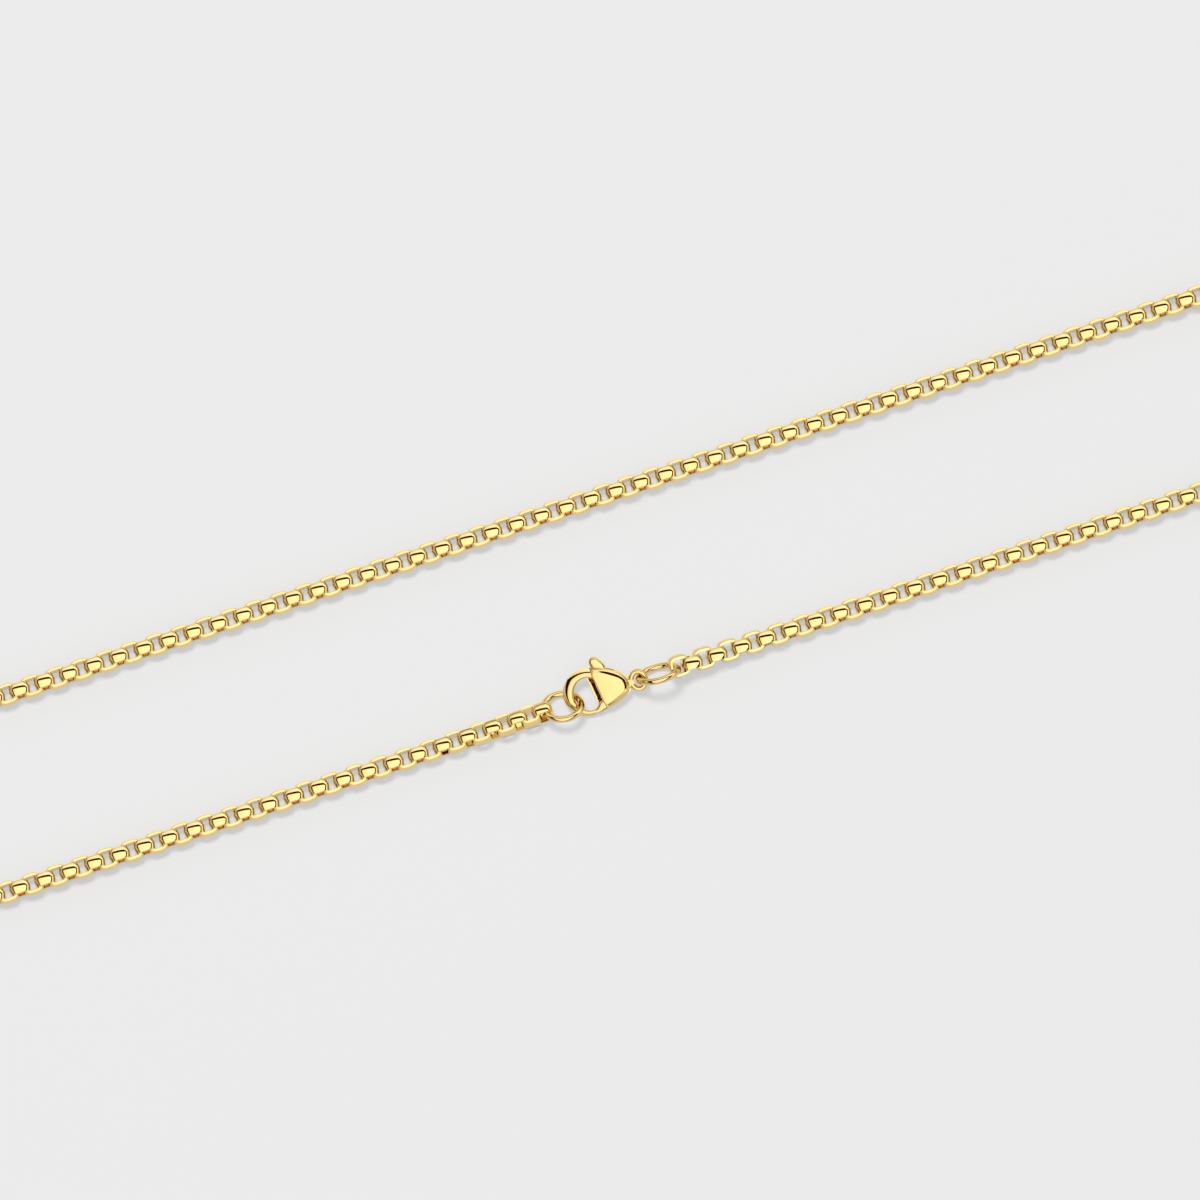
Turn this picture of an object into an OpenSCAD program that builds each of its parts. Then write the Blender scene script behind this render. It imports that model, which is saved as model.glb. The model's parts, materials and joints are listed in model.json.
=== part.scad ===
// Gold box chain for the neck, laid out as a closed loop of two straight runs and two round turns,
// and fastened by a lobster clasp. The clasp hooks a catch ring at the chain's last link and is held
// by a jump ring at its first link. All sizes are in millimetres.

/* [Chain] */
// Width of the chain across one link
link_w = 3.1; // [2.9:0.05:3.6]
// Length of one link along the chain
link_l = 2.97; // [2.9:0.01:3.2]
// Width of the strip that a link is bent from
strip_w = 1.72; // [1.3:0.01:1.8]
// Thickness of a link's long side walls
side_wall = 0.42; // [0.3:0.01:0.46]
// Thickness of a link's end walls
end_wall = 0.44; // [0.35:0.01:0.45]
// Free play between the end walls of two joined links
link_play = 0.33; // [0.32:0.01:0.4]
// Pairs of links, one flat and one upright, in the whole chain
link_pairs = 123; // [90:1:160]
// Distance between the two straight runs
run_gap = 25.8; // [24:0.1:60]
// Roll of the last link, which leans with the catch ring
last_roll = 22; // [0:1:30]
// Roll of the first link, which leans with the jump ring
first_roll = 20; // [0:1:30]
// Rise of the last link, where the catch ring carries it
last_lift = 0.24; // [0.2:0.01:0.6]
// Rise of the first link, where the jump ring carries it
first_lift = 0.94; // [0.9:0.01:1.3]
// Links at each end over which the roll and the rise fade out
end_links = 10; // [8:1:16]

/* [Rings] */
// Diameter of the round catch ring over its wire
catch_d = 5.99; // [5.95:0.01:6.2]
// Diameter of the round jump ring over its wire
jump_d = 6.33; // [6.3:0.01:6.5]
// Wire diameter of both rings
ring_wire = 0.9; // [0.7:0.02:0.92]
// Free space between a ring and the end wall of its link, which leaves room for the ring's tilt
ring_free = 0.32; // [0.28:0.01:0.34]
// Distance of the catch ring's wire from the back of the hook's inside, along the run
hook_seat = 0.67; // [0.6:0.01:0.72]

/* [Clasp] */
// Outer radius of the hook
hook_r = 3.21; // [3.1:0.01:3.4]
// Thickness of the hook at its back
hook_back = 1.2; // [1:0.01:1.3]
// Thickness of the hook near its tip
hook_tip = 0.74; // [0.6:0.01:0.8]
// Height of the hook at its back
hook_back_h = 0.92; // [0.7:0.02:1]
// Height of the hook near its tip
hook_tip_h = 0.54; // [0.4:0.02:0.6]
// Length from the hook's centre to the eye's centre
clasp_l = 6.98; // [6.9:0.02:7.6]
// Height of the body at its crown
body_h = 2.4; // [2.1:0.05:2.6]
// Height of the slot that the lever works in
slot_h = 1; // [0.8:0.05:1.1]
// Length of the eye over its wire
eye_l = 2.34; // [2.3:0.02:2.6]
// Width of the eye over its wire
eye_w = 2.86; // [2.7:0.02:3]
// Wire diameter of the eye
eye_wire = 0.54; // [0.4:0.02:0.56]

/* [Lever] */
// Running gap between the lever and each side of its slot
slot_gap = 0.12; // [0.1:0.01:0.15]
// Radius of the pivot pin
pin_r = 0.34; // [0.3:0.01:0.4]
// Running gap between the pin and the lever's bore
pin_gap = 0.1; // [0.1:0.01:0.15]
// Radius of the lever's boss round the pin
boss_r = 0.8; // [0.7:0.01:0.85]
// Gap between the gate's end and the hook's tip
gate_gap = 0.12; // [0.1:0.01:0.2]

/* [Hidden] */
$fn = 64;

// Links in the whole chain and in each half of it
half_links = round(link_pairs);
links = 2 * half_links;
// Step from one link's centre to the next along the chain
pitch = link_l - 2 * end_wall - link_play;
// Radius that rounds the corners of a link's outline, and of its opening
corner_r = 0.53 * link_w;
opening_r = corner_r - 0.66 * side_wall;
// Radius of the round that the outer faces of all links share, about the chain's axis, with the width
// that it trims from their corners
round_trim = 0.03;
round_r = link_w / 2 + round_trim;
// Height of the chain's axis above the surface
axis_z = link_w / 2;
// Half width of the flat on a link's outer faces, between its rounded edges
flat_half = sqrt(round_r ^ 2 - axis_z ^ 2);
// Size of a cutting block, larger than any piece that it trims
big = 20;
// Overlap of pieces that are fused
fuse = 0.1;

// Turns of the catch ring, the clasp and the jump ring as they lie, as roll, pitch and yaw
catch_turn = [-34.5, -1.5, -13];
clasp_turn = [20.2, -3.1, -5.8];
jump_turn = [-57.1, 3.8, 0.4];
// Distances of the three from the near run's axis, and height of the hook's centre above the surface
catch_side = -0.06;
clasp_side = 0.71;
jump_side = -0.16;
clasp_rise = 1.835;

// Rotation matrix of a turn given as roll, pitch and yaw
function turn_matrix(t) = [
    [cos(t.z) * cos(t.y), cos(t.z) * sin(t.y) * sin(t.x) - sin(t.z) * cos(t.x),
     cos(t.z) * sin(t.y) * cos(t.x) + sin(t.z) * sin(t.x)],
    [sin(t.z) * cos(t.y), sin(t.z) * sin(t.y) * sin(t.x) + cos(t.z) * cos(t.x),
     sin(t.z) * sin(t.y) * cos(t.x) - cos(t.z) * sin(t.x)],
    [-sin(t.y), cos(t.y) * sin(t.x), cos(t.y) * cos(t.x)]];
// Reach of a ring's centre line from its middle along one axis of the row
function ring_reach(d, t, axis) = (d - ring_wire) / 2 * norm([turn_matrix(t)[axis].x, turn_matrix(t)[axis].y]);

// Place of a ring's end wire along the chain, seen from the centre of the link that holds it
ring_seat = link_l / 2 - end_wall - ring_free - ring_wire / 2;
// Places of the rings and the clasp along the run, worked out from the last link to the first
catch_reach = ring_reach(catch_d, catch_turn, 0);
jump_reach = ring_reach(jump_d, jump_turn, 0);
catch_x = ring_seat + catch_reach;
clasp_x = catch_x + catch_reach + hook_r - hook_back - hook_seat;
jump_x = clasp_x + (turn_matrix(clasp_turn) * [clasp_l, 0, 0]).x + jump_reach;
clasp_span = jump_x + jump_reach + ring_seat;
catch_z = ring_reach(catch_d, catch_turn, 2) + ring_wire / 2;
jump_z = ring_reach(jump_d, jump_turn, 2) + ring_wire / 2;

// Radius of the loop's turns and length of each turn
turn_r = run_gap / 2;
turn_l = PI * turn_r;
// Length of each straight run, which closes the loop over the clasp
run_l = ((links - 1) * pitch + clasp_span) / 2 - turn_l;
// Middle of the gap that the clasp spans, along the near run
clasp_mid = -1.735;
last_x = clasp_mid - clasp_span / 2;
first_x = clasp_mid + clasp_span / 2;
// Side of the near run's axis that centres the loop, from the catch ring's near edge to the far run
near_edge = ring_reach(catch_d, catch_turn, 1) + ring_wire / 2 - catch_side;
near_y = (near_edge - run_gap - link_w / 2) / 2;

// Place and heading of the chain's axis at a distance s from the first link
function loop_at(s) =
    let (right = run_l / 2 - first_x, far = right + turn_l, left = far + run_l, near = left + turn_l)
    s < right ? [first_x + s, near_y, 0] :
    s < far ? let (a = (s - right) / turn_r * 180 / PI)
        [run_l / 2 + turn_r * sin(a), near_y + turn_r * (1 - cos(a)), a] :
    s < left ? [run_l / 2 - (s - far), near_y + run_gap, 180] :
    s < near ? let (a = (s - left) / turn_r * 180 / PI)
        [-run_l / 2 - turn_r * sin(a), near_y + run_gap - turn_r * (1 - cos(a)), 180 + a] :
    [-run_l / 2 + (s - near), near_y, 360];

// Share of a chain end's roll and rise that a link takes, for the first link's end and for the last's
function first_share(i) = max(0, 1 - i / end_links);
function last_share(i) = max(0, 1 - (links - 1 - i) / end_links);
// Roll of a link about the chain's axis, its lift, and its rise, which also keeps the rolled link's
// lowest edge on the surface
function link_roll(i) = first_roll * first_share(i) - last_roll * last_share(i);
function link_lift(i) = first_lift * first_share(i) ^ 2 + last_lift * last_share(i) ^ 2;
function link_rise(i) = let (roll = abs(link_roll(i)), tilt = min(roll, acos(axis_z / round_r)))
    axis_z * (cos(tilt) - 1) + flat_half * sin(tilt) + link_lift(i);
// Slope of the lift, as the angle by which a link's end tips down along the chain
function link_tip(i) = atan(2 * (first_lift * first_share(i) - last_lift * last_share(i)) / (end_links * pitch));

// Solid of one link that stands upright, with its opening along y
module link() {
    intersection() {
        difference() {
            intersection() {
                cube([link_l, strip_w, link_w], center = true);
                rotate([90, 0, 0]) cylinder(r = corner_r, h = 2 * strip_w, center = true);
            }
            intersection() {
                cube([link_l - 2 * end_wall, 2 * strip_w, link_w - 2 * side_wall], center = true);
                rotate([90, 0, 0]) cylinder(r = opening_r, h = 3 * strip_w, center = true);
            }
        }
        rotate([0, 90, 0]) cylinder(r = round_r, h = 2 * link_l, center = true);
    }
}

// A stretch of the chain: even links lie flat and odd links stand upright
module chain(first, last) {
    for (i = [first : last]) {
        at = loop_at(i * pitch);
        translate([at.x, at.y, axis_z + link_rise(i)])
            rotate([(i % 2 == 0 ? 90 : 0) + link_roll(i), link_tip(i), at.z])
                link();
    }
}

module chain_first_half() {
    color("#d9b45a") chain(0, half_links - 1);
}

module chain_second_half() {
    color("#d9b45a") chain(half_links, links - 1);
}

// Ring of round wire, flat in the xy plane
module wire_ring(d, wire) {
    rotate_extrude() translate([(d - wire) / 2, 0]) circle(d = wire, $fn = 96);
}

// Oval ring of round wire, with two half-round ends and straight sides, its length along x
module oval_ring(l, w, wire) {
    bend = (w - wire) / 2;
    side = (l - w) / 2;
    for (turn = [0, 180]) rotate([0, 0, turn]) {
        translate([side, 0, 0]) rotate([0, 0, -90])
            rotate_extrude(angle = 180) translate([bend, 0]) circle(d = wire);
        translate([0, bend, 0]) rotate([0, 90, 0]) cylinder(d = wire, h = 2 * side, center = true);
    }
}

module catch_ring() {
    color("#d9b45a") translate([last_x + catch_x, near_y + catch_side, catch_z]) rotate(catch_turn)
        wire_ring(catch_d, ring_wire);
}

module jump_ring() {
    color("#d9b45a") translate([last_x + jump_x, near_y + jump_side, jump_z]) rotate(jump_turn)
        wire_ring(jump_d, ring_wire);
}

// The clasp lies in its own plane, with the hook's centre at the origin and the eye along x.
// Pivot of the lever, and the radius of the arc between the gate's end and the hook's tip
pivot = [0.48 * clasp_l, -0.36 * hook_r];
gate_r = 0.4585 * clasp_l;
// Corners of the body's left edge and its right end, as shares of the clasp's length and the hook's radius
body_edge = [[0.065, 1.1], [0.11, 0.6], [0.205, -0.45], [0.26, -1.03], [0.818, -1.03], [0.818, 1.1]];
// Corners of the slot, which opens to the left, to the gate below and to the trigger above
slot_edge = [[0.03, 0.55], [0.14, 0.62], [0.14, 1.25], [0.63, 1.25], [0.63, -1.25], [0.2, -1.25], [0.12, -0.6],
    [0.03, 0]];
// Corners of the gate's arm and of the trigger's arm, in the same shares
gate_edge = [[0.45, -0.12], [0.215, -0.45], [0.04, -0.73], [0.04, -1], [0.24, -0.93], [0.37, -0.8], [0.48, -0.59]];
trigger_edge = [[0.57, -0.25], [0.45, 0.5], [0.4, 0.94], [0.316, 1.26], [0.15, 1.2], [0.165, 1],
    [0.205, 0.75], [0.375, -0.36]];
trigger_end = [0.233, 1.2];
trigger_r = 0.085 * clasp_l;
body_crown = [0.4 * clasp_l, -0.03 * hook_r];
crown_r = 14;
body_top = [0.082 * clasp_l, -1.1 * hook_r, 2.061 * hook_r];
body_low = [-0.029 * clasp_l, 2.13 * hook_r, 3.066 * hook_r];
// Bevel that rounds the edges of the hook
hook_bevel = 0.3 * hook_back_h;
// Circle of the hook's inside, which leaves its back thick and its tip thin
hook_in_r = hook_r - (hook_back + hook_tip) / 2;
hook_in_shift = (hook_back - hook_tip) / 2;
// Direction of the hook's back, seen from the hook's centre
back_dir = 140;
// Angles at which the hook leaves the body and ends
hook_from = 68;
hook_to = 292;
lever_h = slot_h - 2 * slot_gap;
// Neck between the body's end and the eye
neck_r = 0.5;
neck_from = clasp_l - eye_l / 2 - 1;
neck_to = clasp_l - eye_l / 2 + 0.6 * eye_wire;

// Corners given as shares of the clasp's length and the hook's radius, made real
function clasp_points(shares) = [for (p = shares) [p.x * clasp_l, p.y * hook_r]];

// Whole round of the hook: a bevelled disk less a round hole off its centre, its faces sloping to the tip
module hook_ring() {
    slope = atan((hook_back_h - hook_tip_h) / 2 / (1.7 * hook_r));
    h = hook_back_h / 2;
    c = hook_bevel;
    difference() {
        rotate_extrude() polygon([[hook_in_r / 2, -h], [hook_r - c, -h], [hook_r, c - h],
            [hook_r, h - c], [hook_r - c, h], [hook_in_r / 2, h]]);
        translate([-hook_in_shift * cos(back_dir), -hook_in_shift * sin(back_dir), 0])
            rotate_extrude() polygon([[0, -h - fuse], [hook_in_r + c + fuse, -h - fuse], [hook_in_r, c - h],
                [hook_in_r, h - c], [hook_in_r + c + fuse, h + fuse], [0, h + fuse]]);
        for (side = [0, 180]) rotate([side, 0, 0]) translate([0, 0, h])
            rotate([side == 0 ? slope : -slope, 0, 0]) translate([-big / 2, -big, 0]) cube([big, big, big]);
    }
}

// Sector of the clasp's plane from one angle to another, as a block
module sector(from, to) {
    linear_extrude(big, center = true)
        polygon([[0, 0], for (k = [0 : 4]) let (a = from + (to - from) * k / 4) big * [cos(a), sin(a)]]);
}

module body_blank() {
    intersection() {
        linear_extrude(big, center = true) polygon(clasp_points(body_edge));
        translate([body_top.x, body_top.y, 0]) cylinder(r = body_top.z, h = big, center = true, $fn = 128);
        translate([body_low.x, body_low.y, 0]) cylinder(r = body_low.z, h = big, center = true, $fn = 128);
        translate([body_crown.x, body_crown.y, body_h / 2 - crown_r]) sphere(r = crown_r, $fn = 160);
        translate([body_crown.x, body_crown.y, crown_r - body_h / 2]) sphere(r = crown_r, $fn = 160);
    }
}

module clasp_plane() {
    translate([last_x + clasp_x, near_y + clasp_side, clasp_rise]) rotate(clasp_turn) children();
}

// Plates, root of the hook and end block of the body, with the slot cut out between the plates
module body_shell() {
    difference() {
        union() {
            body_blank();
            difference() {
                intersection() {
                    hook_ring();
                    sector(hook_from, hook_to);
                }
                translate([pivot.x, pivot.y, 0]) cylinder(r = gate_r + gate_gap, h = big, center = true);
            }
        }
        linear_extrude(slot_h, center = true) polygon(clasp_points(slot_edge));
    }
}

module clasp_body() {
    color("#d9b45a") clasp_plane() {
        body_shell();
        translate([pivot.x, pivot.y, 0]) cylinder(r = pin_r, h = slot_h + 2 * fuse, center = true);
        translate([neck_from, 0, 0]) rotate([0, 90, 0]) cylinder(r = neck_r, h = neck_to - neck_from);
        translate([clasp_l, 0, 0]) rotate([0, 0, 90]) oval_ring(eye_w, eye_l, eye_wire);
    }
}

module clasp_lever() {
    color("#e2c270") clasp_plane() {
        difference() {
            intersection() {
                linear_extrude(lever_h, center = true) {
                    translate(pivot) circle(r = boss_r);
                    polygon(clasp_points(gate_edge));
                    polygon(clasp_points(trigger_edge));
                    translate(clasp_points([trigger_end])[0]) circle(r = trigger_r);
                }
                union() {
                    translate([pivot.x, pivot.y, 0]) cylinder(r = gate_r, h = big, center = true, $fn = 128);
                    translate([-big / 2, 0, -big / 2]) cube(big);
                }
            }
            translate([pivot.x, pivot.y, 0]) cylinder(r = pin_r + pin_gap, h = big, center = true);
        }
    }
}

chain_first_half();
chain_second_half();
catch_ring();
jump_ring();
clasp_body();
clasp_lever();
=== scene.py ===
"""Looks of the gold box chain: polished plated links, two round rings and a lobster clasp.

Lengths are in millimetres and are turned to metres where a mesh is made. The frame is the part's own:
x along the two straight runs, y from the run with the clasp to the far run, z up from the surface.
"""

import json
import math

import bpy
import numpy as np
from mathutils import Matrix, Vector


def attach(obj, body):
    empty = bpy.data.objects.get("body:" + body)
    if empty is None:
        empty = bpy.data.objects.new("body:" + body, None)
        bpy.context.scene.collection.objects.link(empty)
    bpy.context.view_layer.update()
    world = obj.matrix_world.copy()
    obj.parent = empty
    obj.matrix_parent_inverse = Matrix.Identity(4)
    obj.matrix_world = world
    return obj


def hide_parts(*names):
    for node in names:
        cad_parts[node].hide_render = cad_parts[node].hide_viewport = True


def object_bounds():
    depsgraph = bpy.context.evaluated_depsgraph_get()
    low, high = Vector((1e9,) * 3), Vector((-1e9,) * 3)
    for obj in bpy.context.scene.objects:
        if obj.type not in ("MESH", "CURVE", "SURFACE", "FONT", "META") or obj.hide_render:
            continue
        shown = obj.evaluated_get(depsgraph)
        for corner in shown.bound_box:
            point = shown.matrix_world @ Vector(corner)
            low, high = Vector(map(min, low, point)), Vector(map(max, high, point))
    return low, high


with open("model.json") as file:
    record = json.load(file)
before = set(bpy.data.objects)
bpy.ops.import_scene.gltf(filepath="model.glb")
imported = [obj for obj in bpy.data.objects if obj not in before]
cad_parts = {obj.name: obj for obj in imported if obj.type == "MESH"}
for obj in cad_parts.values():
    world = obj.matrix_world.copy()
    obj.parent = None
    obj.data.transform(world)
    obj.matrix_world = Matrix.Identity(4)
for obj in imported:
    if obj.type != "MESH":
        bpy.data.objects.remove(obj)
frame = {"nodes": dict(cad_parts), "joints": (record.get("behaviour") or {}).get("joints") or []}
cad_low, cad_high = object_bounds()
scene = bpy.context.scene
MM = 0.001

# Links of the chain
LINK_W = 3.1
LINK_L = 2.97
STRIP_W = 1.72
END_WALL = 0.44
LINK_PLAY = 0.33
LINKS = 246
PITCH = LINK_L - 2 * END_WALL - LINK_PLAY
ROUND_R = LINK_W / 2 + 0.03
AXIS_Z = LINK_W / 2

# Walls of a link as they look, fuller than the CAD's at the middle of each side, and powers of its outlines
FULL_SIDE = 0.6
FULL_END = 0.52
OUTER_POWER = 3.4
INNER_POWER = 4.0
# Degrees of a link's rows within each quarter turn
ROW_TURNS = (0, 18, 36, 54, 72)
# Section of the strip: share of its half width, share of its depth from the inside out, and the face whose
# normal each corner takes: outer 1, side 0, inner -1
SECTION = np.array([
    (0.93, 1, 1), (0, 1, 1), (-0.93, 1, 1), (-1, 0.9, 0), (-1, 0.1, 0), (-0.95, 0, -1), (0.95, 0, -1),
    (1, 0.1, 0), (1, 0.9, 0),
])

# Clasp, in its own plane: the hook's centre is the origin and the eye lies along x. It lies turned by a roll,
# a pitch and a yaw
HOOK_R = 3.21
CLASP_L = 6.98
BODY_H = 2.4
SLOT_H = 1.0
CLASP_TURN = (20.2, -3.1, -5.8)
PIVOT = np.array([0.48 * CLASP_L, -0.36 * HOOK_R, 0])
PIN_R = 0.3
PIN_HALF_H = 0.6

# Outline of its body: the two arcs, each as its middle, in shares of CLASP_L and HOOK_R, and its radius, in
# shares of HOOK_R; the end's place along x, as a share of CLASP_L; and the power that rounds the corners
BODY_ARCS = (((0.082, -1.1), 2.061), ((-0.029, 2.13), 3.066))
BODY_END = 0.815
CORNER_POWER = 9.0

# Hook: angles from its root to its tip; half width and half height at its root, and how much of each is lost
# at its tip; how much wider and further out it is at its left; the left's angle and the spread of that width;
# and where it starts to shrink, over how many degrees, and by what power
HOOK_TURN = (58, 278.5)
HOOK_HALF = (0.64, 0.5)
HOOK_LOSS = (0.27, 0.16)
HOOK_FULLER = 0.13
HOOK_OUT = 0.17
HOOK_LEFT = (175, 45)
HOOK_SHRINK = (150, 110, 1.3)
# Upper half of the hook's section, from its inner side to its outer, as shares of its half width and half
# height: a round inner side, a crown, a slope and a bevel
HOOK_SECTION = np.array([
    (1, 0), (0.96, 0.45), (0.82, 0.8), (0.55, 0.97), (0.15, 1), (-0.4, 0.7), (-0.93, 0.08), (-1, 0),
])

# Round rings: wire, and each ring's diameter over its wire and its turn, as roll, pitch and yaw
RING_WIRE = 0.9
RINGS = {"catch_ring": (5.99, (-34.5, -1.5, -13)), "jump_ring": (6.33, (-57.1, 3.8, 0.4))}

# Profile of the clasp's plates: drop of the crown; width of the bevel along the outline and at the left edge;
# slopes of its two facets and where each starts and is full, as shares of its width; the left edge's
# direction, and between which cosines from it the bevel narrows; and the inner face's rows, as shares of the
# way out, of which the first two are its rim
CROWN_DROP = 0.09
BEVEL = 0.75
LEFT_BEVEL = 0.2
FACETS = ((0.53, 0.0, 0.12), (0.6, 0.45, 0.75))
LEFT_WAY = (-1, -0.2)
LEFT_COSINES = (0.34, 0.64)
INNER_ROWS = (0.985, 0.9, 0.62, 0.02)
# Middle of the two plates' rows and of the end block's, and a point on the left edge of each; how far the
# outline of each lies above a plate's inner face, or below the block's top; and how deep the lower plate's
# inner face sinks
PLATE_MIDDLE = (2.9, 0.45)
BLOCK_MIDDLE = (5.1, -0.2)
PLATE_LEFT = (0.98, 1.93)
LEDGE_LEFT = (0.22, 1.93)
BLOCK_LEFT = (4.4, 0)
PLATE_RIM = 0.08
LEDGE_RIM = 0.1
BLOCK_RIM = 0.14
LEDGE_SINK = 0.55

# Eye: how far its middle is short of the clasp's length, half sizes of its path, and half width and half
# height of its bar
EYE_BACK = 0.05
EYE_PATH = (0.97, 1.18)
EYE_BAR = (0.37, 0.5)

# Stations of the clasp's bars, with columns x, y, half width and half height
NECK = [(5.2, -0.15, 1.0, 0.45), (5.8, -0.05, 0.8, 0.5), (6.3, 0, 0.7, 0.45)]
GATE = [
    (0.5, -2.79, 0.345, 0.33), (1.0, -2.62, 0.48, 0.42), (1.6, -2.25, 0.7, 0.44), (2.4, -1.8, 0.8, 0.42),
    (3.5, -1.0, 0.7, 0.4),
]
TRIGGER = [
    (3.3, -0.8, 0.5, 0.38), (2.75, 1.2, 0.55, 0.38), (2.25, 2.7, 0.85, 0.4), (1.7, 3.75, 0.72, 0.4),
    (1.38, 4.42, 0.6, 0.38),
]
TRIGGER_ROUND = 0.6

# Lay of the chain beside the rings: roll in degrees, lift, and links over which both fade out
FIRST_ROLL = 20
LAST_ROLL = 22
FIRST_LIFT = 0.94
LAST_LIFT = 0.24
END_LINKS = 10

# The loop, fitted to the CAD model's box
RUN_GAP = 25.8
TURN_R = RUN_GAP / 2
TURN_L = math.pi * TURN_R
RUN_L = (cad_high.x - cad_low.x) / MM - 2 * TURN_R - LINK_W
NEAR_Y = cad_high.y / MM - LINK_W / 2 - RUN_GAP
CLASP_MID = -1.735
CLASP_SPAN = 2 * (RUN_L + TURN_L) - (LINKS - 1) * PITCH
FIRST_X = CLASP_MID + CLASP_SPAN / 2

# Camera of the photograph: how far round and how high it stands, and the width that it sees
CAM_AZIMUTH = -19.03
CAM_ELEVATION = 76.0
FRAME_W = 160.7
LENS = 1000
SENSOR = 36
PHOTO_PX = 1200
# Pixel of the photograph at which the near run's axis crosses the x of the fit's origin
ORIGIN_PX = (612.0, 690.2)
ORIGIN = np.array([-1.56, NEAR_Y, AXIS_Z])

# Tent: a bright panel overhead, which ends in a dark band at the left, right and far sides, in degrees from
# straight up; brightness of the tent at the left, the right and the rim; and the heights, as sines, between
# which it brightens from the rim
PANEL_SIDE = 40
PANEL_FAR = 16
BAND = 22
BAND_SOFT = 1
BAND_BROWN = "#2A1204"
TENT_LEFT = 1.0
TENT_RIGHT = 1.95
TENT_RIM = 0.08
TENT_HEIGHTS = (-0.1, 0.62)
# Soft box: power, diameter and distance in metres, and its way from the part as shares right, far and up
BOX_POWER = 120
BOX_D = 0.9
BOX_AWAY = 3.0
BOX_WAY = (-0.15, 0.2, 0.95)
# Paper: half its side in metres, its colour, and its own glow, which is painted fill light that keeps shadows
# on it pale
PAPER_HALF = 3.0
PAPER = "#707070"
PAPER_PAINTED_GLOW = 0.48


def linear(hex_colour):
    """sRGB hex colour as linear RGBA."""
    c = np.array([int(hex_colour[i : i + 2], 16) / 255 for i in (1, 3, 5)])
    c = np.where(c <= 0.04045, c / 12.92, ((c + 0.055) / 1.055) ** 2.4)
    return (*c, 1.0)


def add(tree, kind, inputs=None, **settings):
    """Adds a node with its settings; each input, by name or number, gets a link from a socket or a value."""
    node = tree.nodes.new(kind)
    for name, value in settings.items():
        setattr(node, name, value)
    for key, value in (inputs or {}).items():
        if isinstance(value, bpy.types.NodeSocket):
            tree.links.new(value, node.inputs[key])
        else:
            node.inputs[key].default_value = value
    return node


def new_material(name):
    """Empty node material with its output node."""
    material = bpy.data.materials.new(name)
    material.use_nodes = True
    material.node_tree.nodes.clear()
    return material, material.node_tree


def polished_gold(name, colour, roughness):
    """Gold plating on polished brass: mirror-bright, warm yellow, browner at each further reflection."""
    material, tree = new_material(name)
    inputs = {"Base Color": linear(colour), "Metallic": 1.0, "Roughness": roughness}
    shader = add(tree, "ShaderNodeBsdfPrincipled", inputs)
    add(tree, "ShaderNodeOutputMaterial", {"Surface": shader.outputs["BSDF"]})
    return material


def matt_sweep():
    """White paper with no gloss and a glow of its own: painted fill light, so that shadows on it stay pale.
    """
    material, tree = new_material("studio_paper")
    # The emission is painted fill light on the paper, which keeps the chain's shadows pale
    shader = add(tree, "ShaderNodeBsdfPrincipled", {
        "Base Color": linear(PAPER), "Roughness": 1.0, "Specular IOR Level": 0.0,
        "Emission Color": linear("#FFFFFF"), "Emission Strength": PAPER_PAINTED_GLOW,
    })
    add(tree, "ShaderNodeOutputMaterial", {"Surface": shader.outputs["BSDF"]})
    return material


CHAIN_GOLD = polished_gold("gold_plated_links", "#F0D48E", 0.06)
RING_GOLD = polished_gold("gold_plated_wire", "#E8CA84", 0.05)
CLASP_GOLD = polished_gold("gold_plated_clasp", "#E6CA86", 0.05)


def signed_power(x, power):
    """|x| to the power, with the sign of x."""
    return np.sign(x) * np.abs(x) ** power


def shell(points, ring=False):
    """Vertices and faces of a grid (rows, columns, 3) wrapped over its columns.

    A ring wraps over its rows too; else each end row is closed by a fan to its middle.
    """
    rows, cols = points.shape[:2]
    r, c = np.meshgrid(np.arange(rows if ring else rows - 1), np.arange(cols), indexing="ij")
    r2, c2 = (r + 1) % rows, (c + 1) % cols
    quads = np.stack([r * cols + c, r2 * cols + c, r2 * cols + c2, r * cols + c2], -1).reshape(-1, 4)
    verts = points.reshape(-1, 3)
    if ring:
        return verts, quads.tolist()
    c = np.arange(cols)
    first, last = rows * cols, rows * cols + 1
    start = np.stack([c, (c + 1) % cols, 0 * c + first], -1)
    end = np.stack([(rows - 1) * cols + (c + 1) % cols, (rows - 1) * cols + c, 0 * c + last], -1)
    verts = np.vstack([verts, points[0].mean(0), points[-1].mean(0)])
    return verts, quads.tolist() + start.tolist() + end.tolist()


def add_piece(name, verts, faces, material, body, nodes):
    """Object of a mesh in millimetres, riding on a body in place of CAD nodes."""
    mesh = bpy.data.meshes.new(name)
    mesh.from_pydata(verts * MM, [], faces)
    mesh.shade_smooth()
    mesh.materials.append(material)
    piece = bpy.data.objects.new(name, mesh)
    scene.collection.objects.link(piece)
    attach(piece, body)
    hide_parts(*nodes)
    return piece


def superellipse(turn, half_l, half_w, power):
    """Points and outward normals of a superellipse: cosine and sine to the power 2 / power."""
    share = np.stack([signed_power(np.cos(turn), 2 / power), signed_power(np.sin(turn), 2 / power)], -1)
    normal = signed_power(share, power - 1) / (half_l, half_w)
    return share * (half_l, half_w), normal / np.linalg.norm(normal, axis=-1, keepdims=True)


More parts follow.
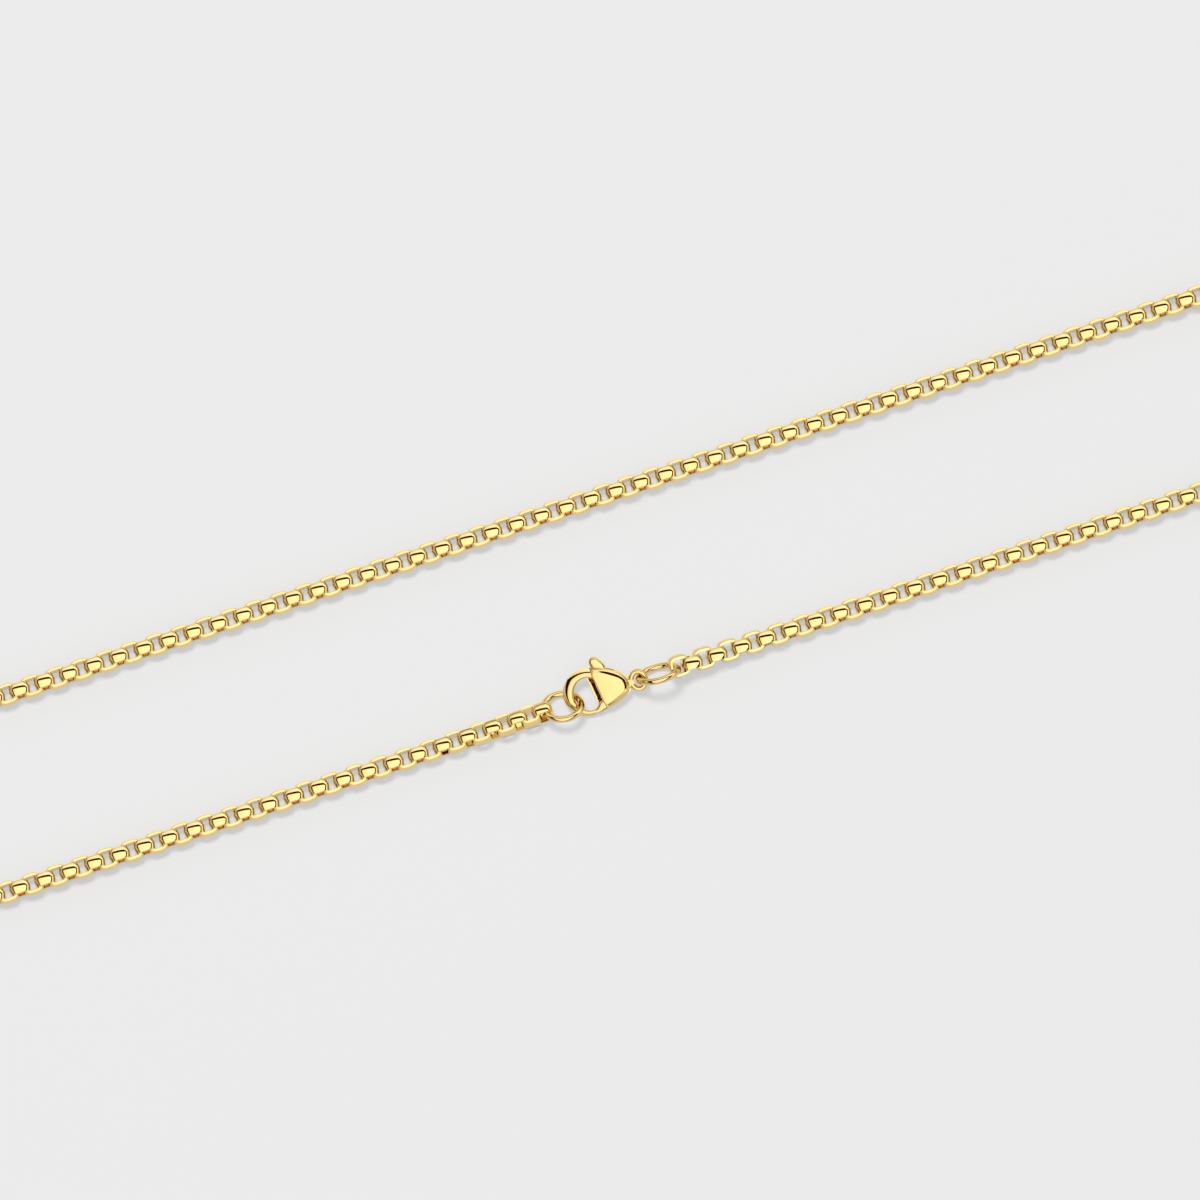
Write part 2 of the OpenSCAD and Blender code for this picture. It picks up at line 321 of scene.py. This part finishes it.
def link_grid():
    """One link: a strip bent into a rounded oblong, as points and normals (rows round it, columns across).

    Outside and inside are superellipses. The outer face falls off from its middle as a circle of the chain's
    own radius does, and its normals lean out with the arcsine of the same share.
    """
    turn = np.radians(np.add.outer((0, 90, 180, 270), ROW_TURNS).ravel())
    outer, outer_normal = superellipse(turn, LINK_L / 2, LINK_W / 2, OUTER_POWER)
    inner, inner_normal = superellipse(turn, LINK_L / 2 - FULL_END, LINK_W / 2 - FULL_SIDE, INNER_POWER)
    side, depth, face = SECTION.T
    lean = side * STRIP_W / 2 / ROUND_R
    falls = outer[:, None] * np.sqrt(1 - lean**2)[:, None]
    place = inner[:, None] + depth[:, None] * (falls - inner[:, None])
    beside = np.broadcast_to(side * STRIP_W / 2, place.shape[:2])
    points = np.stack([place[..., 0], beside, place[..., 1]], -1)
    out = np.maximum(face, 0) * np.sqrt(1 - lean**2)
    flat = out[:, None] * outer_normal[:, None] - np.maximum(-face, 0)[:, None] * inner_normal[:, None]
    across = np.where(face == 1, lean, np.where(face == 0, np.sign(side), 0))
    normals = np.stack([flat[..., 0], np.broadcast_to(across, flat.shape[:2]), flat[..., 1]], -1)
    return points, normals


def turn_matrices(roll, tip, yaw):
    """Rotation matrices that roll about x, then tip about y, then yaw about z, angles in radians."""
    cr, sr, ct, st, cy, sy = np.cos(roll), np.sin(roll), np.cos(tip), np.sin(tip), np.cos(yaw), np.sin(yaw)
    rows = [
        [cy * ct, cy * st * sr - sy * cr, cy * st * cr + sy * sr],
        [sy * ct, sy * st * sr + cy * cr, sy * st * cr - cy * sr],
        [-st, ct * sr, ct * cr],
    ]
    return np.stack([np.stack(np.broadcast_arrays(*row), -1) for row in rows], -2)


def loop_at(s):
    """Place and heading of the chain's axis at a distance s from the first link, on runs and half circles."""
    right = RUN_L / 2 - FIRST_X
    far, left = right + TURN_L, right + TURN_L + RUN_L
    near = left + TURN_L
    a = np.where(s < far, (s - right) / TURN_R, (s - left) / TURN_R)
    on = [s < right, s < far, s < left, s < near]
    x = np.select(
        on,
        [FIRST_X + s, RUN_L / 2 + TURN_R * np.sin(a), RUN_L / 2 - (s - far), -RUN_L / 2 - TURN_R * np.sin(a)],
        -RUN_L / 2 + (s - near),
    )
    bend = TURN_R * (1 - np.cos(a))
    y = NEAR_Y + np.select(on, [0 * s, bend, 0 * s + RUN_GAP, RUN_GAP - bend], 0)
    heading = np.select(on, [0 * s, a, 0 * s + np.pi, np.pi + a], 2 * np.pi)
    return x, y, heading


def chain_part(name, first, last):
    """A stretch of the chain: even links lie flat, odd links stand, the ends roll and lift onto the rings.

    For rolled links to catch the light as the others do, the normals of flat links keep only a roll towards
    the near side, and those of upright links only one towards the far side.
    """
    i = np.arange(first, last + 1)
    x, y, heading = loop_at(i * PITCH)
    at_first = np.maximum(0, 1 - i / END_LINKS)
    at_last = np.maximum(0, 1 - (LINKS - 1 - i) / END_LINKS)
    roll = np.radians(FIRST_ROLL * at_first - LAST_ROLL * at_last)
    tilt = np.minimum(abs(roll), math.acos(AXIS_Z / ROUND_R))
    flat_half = math.sqrt(ROUND_R**2 - AXIS_Z**2)
    rise = AXIS_Z * (np.cos(tilt) - 1) + flat_half * np.sin(tilt)
    rise = rise + FIRST_LIFT * at_first**2 + LAST_LIFT * at_last**2
    tip = np.arctan(2 * (FIRST_LIFT * at_first - LAST_LIFT * at_last) / (END_LINKS * PITCH))
    quarter = np.where(i % 2 == 0, np.pi / 2, 0)
    kept = np.where(i % 2 == 0, np.maximum(roll, 0), np.minimum(roll, 0))
    turn = turn_matrices(roll + quarter, tip, heading)
    shading = turn_matrices(kept + quarter, tip, heading)
    points, normals = link_grid()
    place = np.stack([x, y, AXIS_Z + rise], -1)
    points = np.einsum("nij,rcj->nrci", turn, points) + place[:, None, None]
    normals = np.einsum("nij,rcj->nrci", shading, normals)
    count, rows, cols = points.shape[:3]
    quads = np.array(shell(points[0], ring=True)[1])
    quads = (quads[None] + np.arange(count)[:, None, None] * rows * cols).reshape(-1, 4)
    verts = points.reshape(-1, 3)
    piece = add_piece(name, verts, quads.tolist(), CHAIN_GOLD, "necklace", [name])
    piece.data.normals_split_custom_set_from_vertices(normals.reshape(-1, 3))


def rounded(power, cols=20):
    """Section of a bar: points of a superellipse, as shares of its half width and half height."""
    turn = np.arange(cols) / cols * 2 * np.pi
    return np.stack([signed_power(np.cos(turn), 2 / power), signed_power(np.sin(turn), 2 / power)], -1)


def sweep(path, half_w, half_h, section=rounded(2.4), ring=False):
    """Bar along a path in a plane: each section lies across the path and along z."""
    slope = np.gradient(path, axis=0)
    if ring:
        slope = np.roll(path, -1, 0) - np.roll(path, 1, 0)
    slope /= np.linalg.norm(slope, axis=1, keepdims=True)
    side = np.stack([-slope[:, 1], slope[:, 0]], 1)
    across, height = half_w[:, None] * section[:, 0], half_h[:, None] * section[:, 1]
    plan = path[:, None] + across[..., None] * side[:, None]
    return shell(np.concatenate([plan, height[..., None]], -1)[:, ::-1], ring)


def through(stations, count, round_ends=(0.0, 0.0)):
    """Smooth run of rows through chosen stations, by cubic blends; sizes shrink as a circle at round ends."""
    stations = np.array(stations, float)
    s = np.linspace(0, len(stations) - 1, count)
    k = np.minimum(s.astype(int), len(stations) - 2)
    f = (s - k)[:, None]
    slopes = np.gradient(stations, axis=0)
    a, b, m, n = stations[k], stations[k + 1], slopes[k], slopes[k + 1]
    rows = a * (2 * f**3 - 3 * f**2 + 1) + m * (f**3 - 2 * f**2 + f)
    rows = rows + b * (3 * f**2 - 2 * f**3) + n * (f**3 - f**2)
    length = np.concatenate([[0], np.cumsum(np.linalg.norm(np.diff(rows[:, :2], axis=0), axis=1))])
    for end, distance in zip(round_ends, (length, length[-1] - length)):
        if end:
            inside = np.clip(1 - distance / end, 0, 0.98)
            rows[:, 2:] *= np.sqrt(1 - inside**2)[:, None]
    return rows


def hook_shell():
    """Hook: a bar on a circle, widest at its left by a bell curve, that shrinks to the tip by a power."""
    turn = np.radians(np.linspace(*HOOK_TURN, 60))
    full = np.exp(-(((np.degrees(turn) - HOOK_LEFT[0]) / HOOK_LEFT[1]) ** 2))
    slim = np.clip((np.degrees(turn) - HOOK_SHRINK[0]) / HOOK_SHRINK[1], 0, 1) ** HOOK_SHRINK[2]
    half_w = HOOK_HALF[0] + HOOK_FULLER * full - HOOK_LOSS[0] * slim
    half_h = HOOK_HALF[1] - HOOK_LOSS[1] * slim
    path = (HOOK_R + HOOK_OUT * full - half_w)[:, None] * np.stack([np.cos(turn), np.sin(turn)], 1)
    return sweep(path, half_w, half_h, np.vstack([HOOK_SECTION, HOOK_SECTION[-2:0:-1] * (1, -1)]))


def body_outline(centre, turn, left):
    """Distance from a centre to the body's outline in each direction.

    The outline is the nearest of the left edge, the end and the two arcs, blended so that corners are round.
    """
    way = np.stack([np.cos(turn), np.sin(turn)], -1)
    near = np.zeros_like(turn)
    for normal, point in ((LEFT_WAY, left), ((1, 0), (BODY_END * CLASP_L, 0))):
        facing = np.where(way @ normal > 1e-3, way @ normal, np.inf)
        reach = np.dot(np.subtract(point, centre), normal) / facing
        near += np.where(way @ normal > 1e-3, np.maximum(reach, 1e-3), np.inf) ** -CORNER_POWER
    for middle, radius in BODY_ARCS:
        away = np.subtract(centre, (middle[0] * CLASP_L, middle[1] * HOOK_R))
        b = way @ away
        near += (np.sqrt(b**2 - away @ away + (radius * HOOK_R) ** 2) - b) ** -CORNER_POWER
    return near ** (-1 / CORNER_POWER)


def smooth_step(x, start, end):
    """Cubic step from 0 at the start to 1 at the end."""
    x = np.clip((x - start) / (end - start), 0, 1)
    return x**2 * (3 - 2 * x)


def plate_shell(centre, left, low, high, rim, sink=0.0):
    """Plate with a gentle crown and a bevel: rows run from the crown out to the outline and back under it.

    The crown drops with the square of the way out. The bevel's slope grows by a cubic step for each facet,
    and its height is the running sum. The inner face sinks behind a narrow flat rim.
    """
    turn = np.arange(72) / 72 * 2 * np.pi
    way = np.stack([np.cos(turn), np.sin(turn)], -1)
    edge = body_outline(np.array(centre), turn, left)
    leftward = way @ LEFT_WAY / np.linalg.norm(LEFT_WAY)
    bevel = BEVEL + (LEFT_BEVEL - BEVEL) * smooth_step(leftward, *LEFT_COSINES)
    out, down = np.linspace(0.03, 1, 10)[:, None], np.linspace(0, 1, 25)[1:]
    slope = np.cumsum(sum(rise * smooth_step(down, start, full) for rise, start, full in FACETS))
    reach = np.concatenate([out * (edge - bevel), edge - bevel + down[:, None] * bevel])
    shoulder = high - CROWN_DROP
    crown = high - CROWN_DROP * out[:, 0] ** 2
    height = np.concatenate([crown, shoulder - (shoulder - rim) * slope / slope[-1]])
    reach = np.concatenate([reach, np.outer(INNER_ROWS, edge)])
    height = np.concatenate([height, [low, low, low + sink, low + sink]])
    plan = np.array(centre) + reach[..., None] * way
    points = np.concatenate([plan, np.broadcast_to(height[:, None, None], plan.shape[:2] + (1,))], -1)
    return shell(points)


def mirrored(part):
    """The same shell below the clasp's plane, with its faces turned to stay outward."""
    verts, faces = part
    return verts * [1, 1, -1], [face[::-1] for face in faces]


def outward(part):
    """The shell with its faces turned outward, told by the sign of the volume that they enclose."""
    verts, faces = part
    triangles = np.array([t for f in faces for t in (f[:3], (f[0], f[2], f[-1]))])
    a, b, c = (verts[triangles[:, k]] for k in range(3))
    inside_out = np.einsum("ij,ij->i", a, np.cross(b, c)).sum() < 0
    return (verts, [face[::-1] for face in faces]) if inside_out else part


def clasp_piece(name, parts, body):
    """Joins shells of the clasp's plane into one piece and lays it where the CAD's clasp lies."""
    matrix = turn_matrices(*(np.radians(a) for a in CLASP_TURN))
    origin = np.array(frame["joints"][0]["pos_m"]) / MM - matrix @ PIVOT
    verts, faces = [], []
    for part in map(outward, parts):
        start = sum(map(len, verts))
        verts.append(part[0])
        faces += [[start + k for k in face] for face in part[1]]
    verts = np.vstack(verts) @ matrix.T + origin
    piece = add_piece(name, verts, faces, CLASP_GOLD, body, [name])
    piece.data.set_sharp_from_angle(angle=math.radians(40))


def make_clasp():
    """Body with its hook, plates, end block, neck, eye and pin, and the lever with its gate and trigger."""
    half = SLOT_H / 2
    plate = plate_shell(PLATE_MIDDLE, PLATE_LEFT, half, BODY_H / 2, half + PLATE_RIM)
    ledge = plate_shell(PLATE_MIDDLE, LEDGE_LEFT, half, BODY_H / 2, half + LEDGE_RIM, LEDGE_SINK)
    block = plate_shell(BLOCK_MIDDLE, BLOCK_LEFT, -half, half, half - BLOCK_RIM)
    turn = np.arange(40) / 40 * 2 * np.pi
    eye_path = np.stack([CLASP_L - EYE_BACK + EYE_PATH[0] * np.cos(turn), EYE_PATH[1] * np.sin(turn)], 1)
    eye = sweep(eye_path, EYE_BAR[0] + 0 * turn, EYE_BAR[1] + 0 * turn, rounded(2.2, 16), ring=True)
    pin = [(PIVOT[0] + side * PIN_R, PIVOT[1], PIN_R, PIN_HALF_H) for side in (-1, 1)]
    bars = [sweep(rows[:, :2], rows[:, 2], rows[:, 3]) for rows in (through(NECK, 10), through(pin, 4))]
    clasp_piece("clasp_body", [hook_shell(), plate, mirrored(ledge), block, eye, *bars], "necklace")
    arms = [through(GATE, 24), through(TRIGGER, 30, (0, TRIGGER_ROUND))]
    lever = [sweep(rows[:, :2], rows[:, 2], rows[:, 3], rounded(2.2)) for rows in arms]
    clasp_piece("clasp_lever", lever, "lever")


def make_rings():
    """The two round rings: a round wire on a circle, about the middle of each CAD ring's box."""
    turn = np.arange(72) / 72 * 2 * np.pi
    thick = RING_WIRE / 2 + 0 * turn
    for name, (across, lie) in RINGS.items():
        node = frame["nodes"][name]
        corners = [node.matrix_world @ Vector(c) for c in node.bound_box]
        path = (across - RING_WIRE) / 2 * np.stack([np.cos(turn), np.sin(turn)], 1)
        verts, faces = outward(sweep(path, thick, thick, rounded(2, 16), ring=True))
        verts = verts @ turn_matrices(*(np.radians(a) for a in lie)).T + np.mean(corners, 0) / MM
        add_piece(name, verts, faces, RING_GOLD, "necklace", [name])


def photo_axes():
    """Right and up of the photograph's frame, and the way back to its camera, as unit vectors."""
    a, e = math.radians(CAM_AZIMUTH), math.radians(CAM_ELEVATION)
    back = np.array([math.sin(a) * math.cos(e), -math.cos(a) * math.cos(e), math.sin(e)])
    right = np.array([math.cos(a), math.sin(a), 0])
    return right, np.cross(back, right), back


def make_camera():
    """Long lens far away, aimed so that the near run passes through its pixel of the photograph."""
    right, up, back = photo_axes()
    px = FRAME_W / PHOTO_PX
    aim = ORIGIN + right * (PHOTO_PX / 2 - ORIGIN_PX[0]) * px + up * (ORIGIN_PX[1] - PHOTO_PX / 2) * px
    data = bpy.data.cameras.new("photo_camera")
    data.lens, data.sensor_width = LENS, SENSOR
    camera = bpy.data.objects.new("photo_camera", data)
    distance = FRAME_W * LENS / SENSOR
    camera.location = Vector((aim + back * distance) * MM)
    camera.rotation_euler = Vector(back).to_track_quat("Z", "Y").to_euler()
    data.clip_start, data.clip_end = distance * MM * 0.1, distance * MM * 10
    scene.collection.objects.link(camera)
    scene.camera = camera


def studio_light():
    """White tent whose overhead panel ends in a dark band, and one soft box high at the far left.

    The panel's reach is the larger of two angles from straight up, to the frame's right or left and to the
    far side, less the panel's own. The band is where it is between nothing and the band's width.
    """
    right = photo_axes()[0]
    far = np.array([-right[1], right[0], 0])
    overhead = np.array([0, 0, 1.0])
    world = bpy.data.worlds.new("white_tent")
    scene.world = world
    world.use_nodes = True
    tree = world.node_tree
    tree.nodes.clear()
    way = add(tree, "ShaderNodeTexCoord").outputs["Generated"]
    towards = [
        add(tree, "ShaderNodeVectorMath", {0: way, 1: axis}, operation="DOT_PRODUCT").outputs["Value"]
        for axis in (right, far, overhead)
    ]
    aside = add(tree, "ShaderNodeMath", {0: towards[0], 1: towards[2]}, operation="ARCTAN2").outputs[0]
    aside = add(tree, "ShaderNodeMath", {0: aside}, operation="ABSOLUTE").outputs[0]
    beyond = add(tree, "ShaderNodeMath", {0: towards[1], 1: towards[2]}, operation="ARCTAN2").outputs[0]
    past = [
        add(tree, "ShaderNodeMath", {0: angle, 1: math.radians(panel)}, operation="SUBTRACT").outputs[0]
        for angle, panel in ((aside, PANEL_SIDE), (beyond, PANEL_FAR))
    ]
    reach = add(tree, "ShaderNodeMath", {0: past[0], 1: past[1]}, operation="MAXIMUM").outputs[0]
    off = add(tree, "ShaderNodeMath", {0: reach, 1: math.radians(BAND / 2)}, operation="SUBTRACT").outputs[0]
    off = add(tree, "ShaderNodeMath", {0: off}, operation="ABSOLUTE").outputs[0]
    clear = add(tree, "ShaderNodeMapRange", {
        "Value": off, "From Min": math.radians(BAND / 2 - BAND_SOFT),
        "From Max": math.radians(BAND / 2 + BAND_SOFT),
    }, interpolation_type="SMOOTHSTEP")
    slope = add(tree, "ShaderNodeMapRange", {
        "Value": towards[0], "From Min": -1.0, "From Max": 1.0, "To Min": TENT_LEFT, "To Max": TENT_RIGHT,
    })
    height = add(tree, "ShaderNodeMapRange", {
        "Value": towards[2], "From Min": TENT_HEIGHTS[0], "From Max": TENT_HEIGHTS[1], "To Min": TENT_RIM,
        "To Max": 1.0,
    }, interpolation_type="SMOOTHSTEP")
    white = add(tree, "ShaderNodeMath", {0: clear.outputs[0], 1: height.outputs[0]}, operation="MULTIPLY")
    colours = {0: white.outputs[0], 6: linear(BAND_BROWN), 7: linear("#FFFFFF")}
    tint = add(tree, "ShaderNodeMix", colours, data_type="RGBA")
    paint = add(tree, "ShaderNodeBackground", {"Color": tint.outputs[2], "Strength": slope.outputs[0]})
    add(tree, "ShaderNodeOutputWorld", {"Surface": paint.outputs[0]})

    lamp = bpy.data.lights.new("soft_box", "AREA")
    lamp.shape, lamp.size = "DISK", BOX_D
    lamp.energy = BOX_POWER
    box = bpy.data.objects.new("soft_box", lamp)
    aim = BOX_WAY[0] * right + BOX_WAY[1] * far + BOX_WAY[2] * overhead
    aim = aim / np.linalg.norm(aim)
    box.location = Vector(aim * BOX_AWAY)
    box.rotation_euler = Vector(aim).to_track_quat("Z", "Y").to_euler()
    box.visible_glossy = False
    scene.collection.objects.link(box)


def make_floor():
    """Flat sheet of paper under the chain, far larger than the frame."""
    mesh = bpy.data.meshes.new("paper_floor")
    corners = [(x * PAPER_HALF, y * PAPER_HALF, 0) for x, y in ((-1, -1), (1, -1), (1, 1), (-1, 1))]
    mesh.from_pydata(corners, [], [(0, 1, 2, 3)])
    mesh.materials.append(matt_sweep())
    floor = bpy.data.objects.new("paper_floor", mesh)
    scene.collection.objects.link(floor)


make_camera()
studio_light()
make_floor()
scene.view_settings.view_transform = "Standard"
chain_part("chain_first_half", 0, LINKS // 2 - 1)
chain_part("chain_second_half", LINKS // 2, LINKS - 1)
make_clasp()
make_rings()
